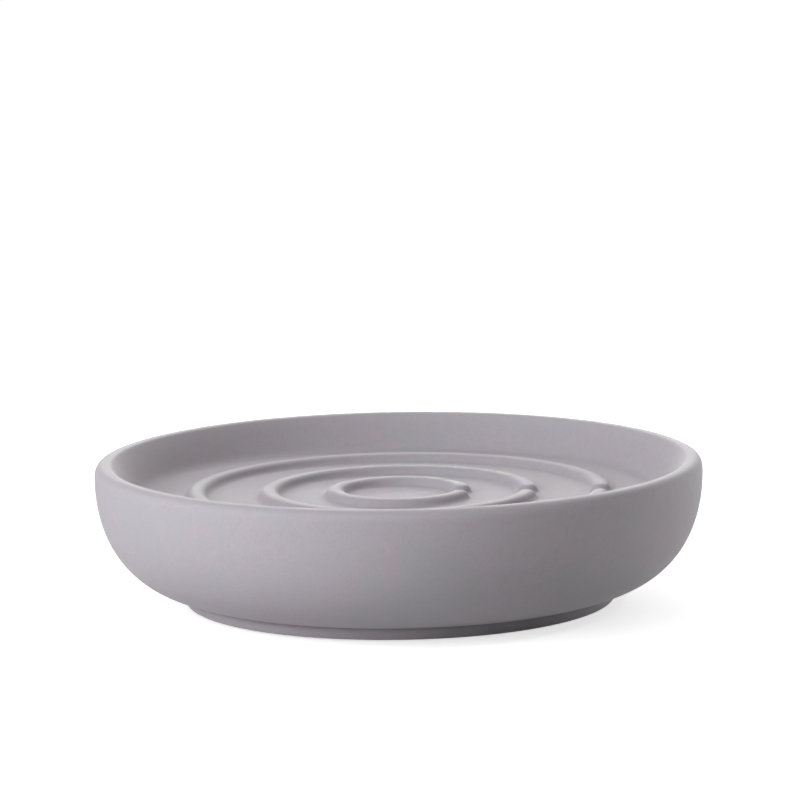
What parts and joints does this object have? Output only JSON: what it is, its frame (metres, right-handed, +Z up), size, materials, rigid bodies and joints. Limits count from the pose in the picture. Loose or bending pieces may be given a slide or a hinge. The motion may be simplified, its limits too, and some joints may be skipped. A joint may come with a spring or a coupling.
{
  "type": "soap dish",
  "caption": "Round, low soap dish with a sunken tray, concentric C-shaped ridges that keep the soap off the floor, a low foot ring and soft pads under the base.",
  "frame": {"origin": "on the dish's axis, in the plane that the undersides of its pads stand on", "axes": "+Z up along the dish's axis, +X towards the gaps in the ridges, +Y towards the back"},
  "size_m": [0.12, 0.12, 0.0285],
  "materials": {
    "stoneware": "matt, mauve-grey",
    "silicone": "matt, grey"
  },
  "bodies": {
    "root": {"dish_body": "stoneware", "foot_pad_front_right": "silicone", "foot_pad_back_right": "silicone", "foot_pad_back_left": "silicone", "foot_pad_front_left": "silicone"}
  },
  "joints": []
}
